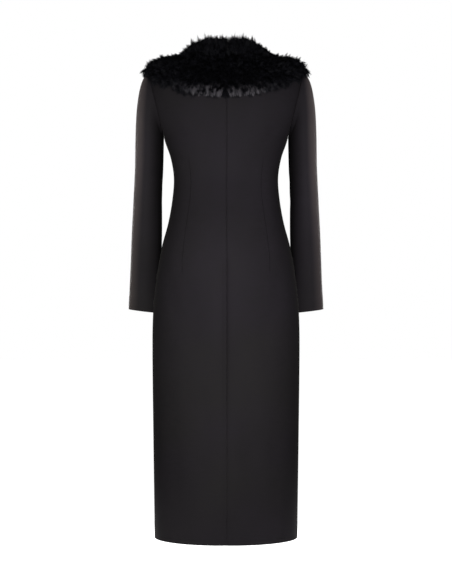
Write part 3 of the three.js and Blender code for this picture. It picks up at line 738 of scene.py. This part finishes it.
def fur_piece(name, collar, at_range, material, seed):
    """The fur between two stations, each strand three faces on five points."""
    rng = np.random.default_rng(seed)
    made = [strands_of(body_tufts(collar, rng, at_range), BODY_TUFT, rng)]
    if at_range[0] == 0:
        made.append(strands_of(crest_tufts(collar, rng, at_range), CREST_TUFT, rng))
        made.append(strands_of(fringe_tufts(collar, rng), FRINGE_TUFT, rng))
    points, colours = (np.concatenate(parts) for parts in zip(*made))
    start = 5 * np.arange(len(points) // 5)[:, None, None]
    faces = (start + np.array([[0, 1, 2], [0, 2, 3], [3, 2, 4]])).reshape(-1, 3)
    piece = mesh_object(name, collar.placed(points), faces, material)
    rgba = np.concatenate([colours, np.ones((len(colours), 1))], axis=1)
    layer = piece.data.color_attributes.new("fur_colour", "FLOAT_COLOR", "POINT")
    layer.data.foreach_set("color", rgba.astype(np.float32).ravel())
    return piece


def lathed(name, profile, centre, steps, material):
    """A solid turned about a line along Y. profile has columns for the radius and the height
    towards the front, and both its ends lie on the line."""
    turn = np.linspace(0, 2 * np.pi, steps, endpoint=False)
    radius, height = np.array(profile, float).T
    x = centre[0] + radius[:, None] * np.cos(turn)
    z = centre[2] + radius[:, None] * np.sin(turn)
    y = centre[1] - height[:, None] + 0 * turn
    rings = np.stack([x, y, z], -1)
    piece = mesh_object(name, rings.reshape(-1, 3), grid_faces(len(profile), steps, ring=True), material)
    bm = bmesh.new()
    bm.from_mesh(piece.data)
    bmesh.ops.remove_doubles(bm, verts=bm.verts, dist=1e-6)
    bmesh.ops.recalc_face_normals(bm, faces=bm.faces)
    bm.to_mesh(piece.data)
    bm.free()
    return piece


def tubes(name, paths, radius, material, around):
    turn = np.linspace(0, 2 * np.pi, around, endpoint=False)[:, None]
    points, faces, start = [], [], 0
    for path in paths:
        ahead = unit(np.gradient(path, axis=0))
        side = unit(np.cross(ahead, [0.02, 1, 0.03]))
        up = np.cross(side, ahead)
        rings = path[:, None] + radius * (side[:, None] * np.cos(turn) + up[:, None] * np.sin(turn))
        points.append(rings.reshape(-1, 3))
        faces.append(grid_faces(len(path), around, ring=True) + start)
        start += len(points[-1])
    return mesh_object(name, np.concatenate(points), np.concatenate(faces), material)


# A button's outline: radius, and height towards the front. Its four holes lie so far out and up.
BUTTON_FLOOR = 3.05
BUTTON_PROFILE = [
    (0, 0), (9, 0), (11.6, 0.05), (12.6, 0.5), (13, 1.2), (13, 3.2), (12.75, 3.95), (12.2, 4.35),
    (11.4, 4.5), (10.6, 4.42), (10, 4.1), (9.5, 3.55), (8.9, 3.25), (8, 3.12), (5.5, 3.08),
    (3, BUTTON_FLOOR), (0, BUTTON_FLOOR),
]
HOLE_RADIUS = 1.15
HOLE_PLACE = 2.5
HOLE_PROFILE = [(0, 0), (HOLE_RADIUS, 0), (HOLE_RADIUS, 8), (0, 8)]
BUTTON_THREAD = {"strands": 5, "apart": 0.33, "radius": 0.24, "arch": 0.9, "sinks": 2.4}
BUTTONHOLE = {"from_x": -6, "to_x": -25, "half": 1.5, "stitches": 76, "radius": 0.16}


def front_y(x, z):
    angle = angle_at(np.abs(x), z, -1)
    return body_point(angle, z, -1)[..., 1] - lap_lift(-x) - SEAM_GAP / 2


def button(number, z, horn, thread):
    centre = np.array([0, front_y(np.array(0.0), z) - 1, z])
    disc = lathed("button_disc_%d" % number, BUTTON_PROFILE, centre, 72, horn)
    holes = []
    for side, up in ((-1, -1), (-1, 1), (1, -1), (1, 1)):
        place = centre + [side * HOLE_PLACE, 1, up * HOLE_PLACE]
        hole = lathed("hole", HOLE_PROFILE, place, 20, horn)
        holes.append(hole)
        cut = disc.modifiers.new("hole", "BOOLEAN")
        cut.object = hole
        cut.operation = "DIFFERENCE"
        cut.solver = "EXACT"
    bpy.context.view_layer.update()
    whole = disc.evaluated_get(bpy.context.evaluated_depsgraph_get())
    disc.data = bpy.data.meshes.new_from_object(whole)
    disc.modifiers.clear()
    for hole in holes:
        bpy.data.objects.remove(hole)
    disc.data.shade_smooth()
    disc.data.set_sharp_from_angle(angle=math.radians(35))
    paths = []
    across = np.linspace(-1, 1, 13)
    kind = BUTTON_THREAD
    arch = BUTTON_FLOOR + kind["arch"] * (1 - across**4) - kind["sinks"] * (np.abs(across) > 0.93)
    for up in (-1, 1):
        for k in range(kind["strands"]):
            rise = up * HOLE_PLACE + (k - 2) * kind["apart"] + 0.1 * np.sin(across * 3 + k)
            forward = -arch - 0.18 * math.cos(k * 2.1)
            paths.append(np.stack([across * HOLE_PLACE * 1.05, forward, rise], -1) + centre)
    return disc, tubes("button_thread_%d" % number, paths, kind["radius"], thread, around=6)


def buttonhole(number, z, thread):
    """A stitched buttonhole, of which the end beyond the button shows."""
    steps = BUTTONHOLE["stitches"]
    length = BUTTONHOLE["from_x"] - BUTTONHOLE["to_x"]
    share = np.arange(steps) / steps
    line = np.abs(2 * share - 1)
    x = BUTTONHOLE["from_x"] - length * np.clip(1.1 * (1 - line) - 0.02, 0, 1)
    rise = BUTTONHOLE["half"] * np.clip(np.minimum(line, 1 - line) * 14, 0.05, 1)
    rise *= np.where(share < 0.5, 1, -1)
    y = front_y(x, z + rise) - 0.25
    path = np.stack([x, y, z + rise], -1)
    middle = path.mean(axis=0)
    paths = []
    stretch = np.linspace(-0.55, 0.75, 5)[:, None]
    arch = -0.28 * (1 - (stretch / 0.8) ** 2) * [0, 1, 0]
    for i in range(steps):
        out = unit((path[i] - middle) * [0.12, 0, 1])
        reach = 1.1 + 0.12 * math.sin(i * 12.9)
        paths.append(path[i] + out * stretch * reach + arch)
    return tubes("buttonhole_%d" % number, paths, BUTTONHOLE["radius"], thread, around=5)


def feed(tree, made, inputs):
    """Puts values or other nodes' outputs on a node's inputs."""
    for name, value in inputs.items():
        if isinstance(value, bpy.types.NodeSocket):
            tree.links.new(value, made.inputs[name])
        else:
            made.inputs[name].default_value = value


def node(tree, kind, inputs, **settings):
    made = tree.nodes.new("ShaderNode" + kind)
    for name, value in settings.items():
        setattr(made, name, value)
    feed(tree, made, inputs)
    return made


def material(name, colour, roughness, specular):
    """A new material, its tree, its shader and the object coordinates."""
    made = bpy.data.materials.new(name)
    made.use_nodes = True
    made.diffuse_color = (*colour, 1)
    tree = made.node_tree
    shader = tree.nodes["Principled BSDF"]
    look = {"Base Color": (*colour, 1), "Roughness": roughness, "Specular IOR Level": specular}
    feed(tree, shader, look)
    return made, tree, shader, tree.nodes.new("ShaderNodeTexCoord").outputs["Object"]


def noise(tree, where, scale, detail=2.0, rough=0.55):
    """Noise with a scale for each axis, in cycles a metre."""
    placed = node(tree, "Mapping", {"Vector": where, "Scale": scale}).outputs["Vector"]
    inputs = {"Vector": placed, "Scale": 1.0, "Detail": detail, "Roughness": rough}
    return node(tree, "TexNoise", inputs).outputs["Fac"]


def remap(tree, value, low, high, to_low, to_high):
    inputs = {"Value": value, "From Min": low, "From Max": high, "To Min": to_low, "To Max": to_high}
    return node(tree, "MapRange", inputs).outputs["Result"]


def added(tree, a, b):
    return node(tree, "Math", {0: a, 1: b}, operation="ADD").outputs[0]


def tint(tree, factor, dark, light):
    """A colour between dark and light, which may be a node's own colour."""
    if not isinstance(light, bpy.types.NodeSocket):
        light = (*light, 1)
    return node(tree, "Mix", {0: factor, 6: (*dark, 1), 7: light}, data_type="RGBA").outputs[2]


def relief(tree, shader, height, strength, distance, over=None):
    """A bump on a shader, over another bump's normal where there is one."""
    bump = node(tree, "Bump", {"Height": height, "Strength": strength, "Distance": distance})
    if over:
        tree.links.new(over, bump.inputs["Normal"])
    tree.links.new(bump.outputs["Normal"], shader.inputs["Normal"])
    return bump.outputs["Normal"]


def varied(tree, value, low=0.0, high=1.0):
    return remap(tree, value, 0.3, 0.7, low, high)


WOOL_DARK = (0.0105, 0.0094, 0.0104)
WOOL_LIGHT = (0.0166, 0.0152, 0.0156)
WOOL_VIOLET = (0.0172, 0.0145, 0.0187)


def wool_material():
    """Smooth wool: a fine level grain, short fibres, and a slight mottling."""
    made, tree, shader, where = material("wool", WOOL_LIGHT, 0.8, 0.07)
    feed(tree, shader, {"Sheen Weight": 0.03, "Sheen Roughness": 0.35, "Sheen Tint": (1, 0.96, 0.9, 1)})
    rows = noise(tree, where, (45, 45, 620), detail=4, rough=0.6)
    threads = noise(tree, where, (260, 260, 1500))
    fibres = noise(tree, where, (1700, 1700, 1700), detail=3, rough=0.6)
    mottle = noise(tree, where, (9, 9, 5), detail=4, rough=0.5)
    mixed = added(tree, varied(tree, rows, 0, 0.5), varied(tree, mottle, 0, 0.3))
    mixed = added(tree, mixed, varied(tree, fibres, 0, 0.2))
    patches = remap(tree, noise(tree, where, (2.6, 2.6, 3.4), detail=3), 0.36, 0.64, 0, 1)
    light = tint(tree, patches, WOOL_LIGHT, WOOL_VIOLET)
    colour = tint(tree, mixed, WOOL_DARK, light)
    feed(tree, shader, {"Base Color": colour, "Roughness": varied(tree, rows, 0.7, 0.9)})
    weave = relief(tree, shader, threads, 0.35, 0.0004)
    nap = relief(tree, shader, fibres, 0.3, 0.0003, weave)
    relief(tree, shader, mottle, 0.18, 0.004, nap)
    return made


def fur_material():
    """Strands in the colours painted on them, a little glossy along their length."""
    made, tree, shader, where = material("fur", (0.006, 0.006, 0.008), 0.6, 0.1)
    painted = node(tree, "Attribute", {}, attribute_name="fur_colour").outputs["Color"]
    patches = noise(tree, where, (70, 70, 70))
    level = varied(tree, patches, 0.8, 1.2)
    colour = node(tree, "VectorMath", {0: painted, "Scale": level}, operation="SCALE").outputs[0]
    feed(tree, shader, {"Base Color": colour, "Roughness": varied(tree, patches, 0.5, 0.7)})
    return made


# Materials whose colour and relief follow one fine noise. The backing that the fur grows from is
# seen only between tufts and from below.
BACKING_GRAIN = {
    "surface": ((0.004, 0.004, 0.005), 0.9, 0.1), "scale": (900, 900, 300), "detail": 3,
    "dark": (0.002, 0.002, 0.003), "light": (0.006, 0.006, 0.008), "bump": (0.6, 0.001),
}
THREAD_GRAIN = {
    "surface": ((0.014, 0.013, 0.013), 0.6, 0.3), "scale": (2600, 2600, 2600), "detail": 2,
    "dark": (0.007, 0.0065, 0.0065), "light": (0.022, 0.021, 0.020), "bump": (0.5, 0.0002),
}


def grained_material(name, kind):
    made, tree, shader, where = material(name, *kind["surface"])
    grain = noise(tree, where, kind["scale"], kind["detail"])
    feed(tree, shader, {"Base Color": tint(tree, varied(tree, grain), kind["dark"], kind["light"])})
    relief(tree, shader, grain, *kind["bump"])
    return made


def horn_material():
    """Black resin buttons with faint clouds, a satin face and fine turning marks."""
    made, tree, shader, where = material("button", (0.007, 0.0065, 0.0065), 0.6, 0.09)
    clouds = noise(tree, where, (120, 120, 300), detail=4, rough=0.6)
    clouded = remap(tree, clouds, 0.35, 0.7, 0, 1)
    colour = tint(tree, clouded, (0.005, 0.0046, 0.0046), (0.012, 0.011, 0.010))
    marks = noise(tree, where, (2500, 300, 2500))
    feed(tree, shader, {"Base Color": colour, "Roughness": varied(tree, marks, 0.5, 0.7)})
    relief(tree, shader, marks, 0.06, 0.0003)
    return made


def floor_material():
    made, tree, shader, where = material("floor", (0.8, 0.8, 0.8), 0.9, 0.1)
    grain = noise(tree, where, (3, 3, 3))
    colour = tint(tree, grain, (0.79, 0.79, 0.79), (0.81, 0.81, 0.81))
    glow = {"Emission Color": (1, 1, 1, 1), "Emission Strength": 0.97}
    feed(tree, shader, {"Base Color": colour, **glow})
    return made


# The studio, in metres
FLOOR_Z = -1.33
FLOOR_HALF = 14
WORLD_LIGHT = 0.1
KEY = {"away": 1.22, "z": -0.53, "size": (0.7, 0.6), "power": 18.9}
SLEEVE_KEY = {"x": 0.72, "away": 1.4, "z": -0.5, "size": (0.75, 0.7), "power": 28}
RIM = {"x": 1.7, "y": -0.55, "z": -0.1, "size": (0.25, 0.7), "power": 44, "tint": (1, 0.86, 0.78)}
# The floor's light on the lowest part of the skirt, strongest at its sides
BOUNCE = {"x": 0.38, "y": 0.25, "z": -1.27, "size": (0.3, 0.05), "power": 0.07, "spread": 1.2}
CAMERA = {"away": 4.2, "z": -0.5763, "lens": 101.53}


def make_floor():
    """A level floor, which takes no part in lighting the coat."""
    steps = np.linspace(-FLOOR_HALF, FLOOR_HALF, 9)
    x, y = np.meshgrid(steps, steps, indexing="ij")
    points = np.stack([x, y, FLOOR_Z + 0 * x], -1).reshape(-1, 3)
    mesh = bpy.data.meshes.new("floor")
    mesh.from_pydata(points.tolist(), [], grid_faces(9, 9).tolist())
    mesh.materials.append(floor_material())
    floor = in_scene("floor", mesh)
    floor.visible_diffuse = False
    floor.visible_glossy = False


def linked(name, pieces, state):
    """A collection by which a light reaches only these pieces, or all but these."""
    made = bpy.data.collections.new(name)
    for piece in pieces:
        made.objects.link(piece)
    for member in made.collection_objects:
        member.light_linking.link_state = state
    return made


def area_light(name, place, target, kind, receivers):
    lamp = bpy.data.lights.new(name, "AREA")
    lamp.shape = "RECTANGLE"
    lamp.size, lamp.size_y = kind["size"]
    lamp.energy = kind["power"]
    lamp.color = kind.get("tint", (1, 1, 1))
    lamp.spread = kind.get("spread", math.pi)
    light = in_scene(name, lamp)
    light.location = place
    light.rotation_euler = (Vector(target) - Vector(place)).to_track_quat("-Z", "Y").to_euler()
    light.visible_camera = False
    light.light_linking.receiver_collection = receivers


def make_lights(sleeves):
    """A white studio that lights less than it shows. Soft boxes behind and in front light all but
    the sleeves, and low ones the hem. Each sleeve has its own pair and a strip at its side."""
    world = bpy.data.worlds.new("studio")
    bpy.context.scene.world = world
    world.use_nodes = True
    tree = world.node_tree
    seen = node(tree, "LightPath", {}).outputs["Is Camera Ray"]
    strength = remap(tree, seen, 0, 1, WORLD_LIGHT, 1.0)
    feed(tree, tree.nodes["Background"], {"Color": (1, 1, 1, 1), "Strength": strength})
    others = linked("all_but_sleeves", sleeves.values(), "EXCLUDE")
    for way in (1, -1):
        middle = (0, 0, KEY["z"])
        area_light("key", (0, way * KEY["away"], KEY["z"]), middle, KEY, others)
        for side in (1, -1):
            place = (side * BOUNCE["x"], way * BOUNCE["y"], BOUNCE["z"])
            area_light("bounce", place, (side * 0.15, way * 0.06, HEM_Z * MM), BOUNCE, others)
    for side, sleeve in sleeves.items():
        one = linked("one_sleeve", [sleeve], "INCLUDE")
        for way in (1, -1):
            place = (side * SLEEVE_KEY["x"], way * SLEEVE_KEY["away"], SLEEVE_KEY["z"])
            area_light("sleeve_key", place, (side * 0.2, 0, SLEEVE_KEY["z"]), SLEEVE_KEY, one)
        place = (side * RIM["x"], RIM["y"], RIM["z"])
        area_light("strip", place, (side * 0.2, -0.05, RIM["z"]), RIM, one)


def make_camera():
    """The photo looks level at the middle of the back, from 4.2 m away."""
    lens = bpy.data.cameras.new("camera")
    lens.lens = CAMERA["lens"]
    lens.sensor_width = 36
    lens.clip_start, lens.clip_end = 0.1, 60
    camera = in_scene("camera", lens)
    camera.location = (0, CAMERA["away"], CAMERA["z"])
    camera.rotation_euler = (math.pi / 2, 0, math.pi)
    bpy.context.scene.camera = camera


# The station at which a collar half's fur is cut into a back and a front piece
FUR_SPLIT = 4.1


def make_coat():
    """Every piece of the coat, in place of its node. Returns the sleeves."""
    wool, fur, backing = wool_material(), fur_material(), grained_material("fur_backing", BACKING_GRAIN)
    horn, thread = horn_material(), grained_material("thread", THREAD_GRAIN)
    sleeves = {}
    for side_name, side in (("left", 1), ("right", -1)):
        ending = "_" + side_name
        cloth = {
            "back": body_panel("back" + ending + "_cloth", 1, side, wool),
            "front": body_panel("front" + ending + "_cloth", -1, side, wool, lapped=side < 0),
            "sleeve": sleeve_piece("sleeve" + ending + "_cloth", side, wool),
        }
        for part, piece in cloth.items():
            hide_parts(part + ending)
        sleeves[side] = cloth["sleeve"]
        half = CollarHalf(side_name)
        pieces = [collar_skin("collar" + ending + "_backing", half, backing)]
        seed = SEED + 10 * (side > 0)
        for part, ends, more in (("back", (0, FUR_SPLIT), 1), ("front", (FUR_SPLIT, half.last), 2)):
            pieces.append(fur_piece("fur" + ending + "_" + part, half, ends, fur, seed + more))
        for piece in pieces:
            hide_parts("collar_" + side_name)
    for number, z in enumerate(BUTTON_ZS, 1):
        for piece in button(number, z, horn, thread):
            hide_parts("button_%d" % number)
        buttonhole(number, z, thread)
    return sleeves


def corners(box):
    return [list(corner) for corner in box]


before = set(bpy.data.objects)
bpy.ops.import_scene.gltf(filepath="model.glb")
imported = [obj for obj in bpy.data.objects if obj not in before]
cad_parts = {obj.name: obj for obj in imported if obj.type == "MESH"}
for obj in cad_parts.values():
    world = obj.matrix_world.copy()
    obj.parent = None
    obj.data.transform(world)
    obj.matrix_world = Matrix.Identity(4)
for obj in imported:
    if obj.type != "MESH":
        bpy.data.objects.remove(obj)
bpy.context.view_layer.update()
make_camera()
sleeves = make_coat()
make_floor()
make_lights(sleeves)
bpy.context.scene.view_settings.view_transform = "Standard"
bpy.context.scene.view_settings.look = "None"
